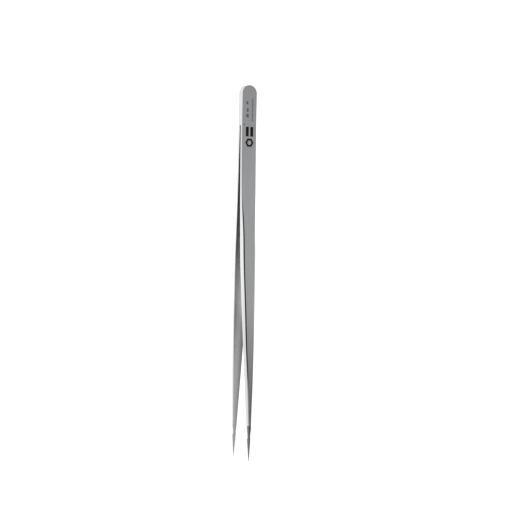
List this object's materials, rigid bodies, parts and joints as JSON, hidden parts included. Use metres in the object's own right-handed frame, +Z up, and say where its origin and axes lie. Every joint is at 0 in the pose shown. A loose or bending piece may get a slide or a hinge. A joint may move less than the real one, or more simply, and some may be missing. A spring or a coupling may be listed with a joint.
{
  "type": "precision tweezers",
  "caption": "Slender all-steel fine-point tweezers: tapered spring arms welded over a thin spacer at the rounded tail, resting open on their lower edges.",
  "frame": {"origin": "on the bench, under the middle of the tweezers' length and between the two arms", "axes": "+X along the length towards the rounded tail, needle tips towards -X; +Y from the front arm to the rear arm, the way they open; +Z up, across the blades' width"},
  "size_m": [0.14, 0.013, 0.0061],
  "materials": {
    "arm_steel": "satin, brushed lengthwise, with bright ground bevels",
    "spacer_steel": "dull, heat tinted by the welds"
  },
  "bodies": {
    "tail": {"tail_spacer": "spacer_steel", "front_arm_tail": "arm_steel", "front_arm_spring": "arm_steel", "rear_arm_tail": "arm_steel", "rear_arm_spring": "arm_steel"},
    "front_leg": {"front_arm_leg": "arm_steel"},
    "rear_leg": {"rear_arm_leg": "arm_steel"}
  },
  "joints": [
    {"name": "front_squeeze", "type": "hinge", "parent": "tail", "child": "front_leg", "pos_m": [0.035, -0.00126, 0.00305], "axis": [0, 0, -1], "range_deg": [0, 3.19], "stiffness_Nm_per_rad": 1.3, "deforming": ["front_arm_spring"]},
    {"name": "rear_squeeze", "type": "hinge", "parent": "tail", "child": "rear_leg", "pos_m": [0.035, 0.00126, 0.00305], "axis": [0, 0, 1], "range_deg": [0, 3.19], "stiffness_Nm_per_rad": 1.3, "deforming": ["rear_arm_spring"]}
  ],
  "couplings": [
    {"joint": "rear_squeeze", "follows": "front_squeeze", "ratio": 1}
  ]
}
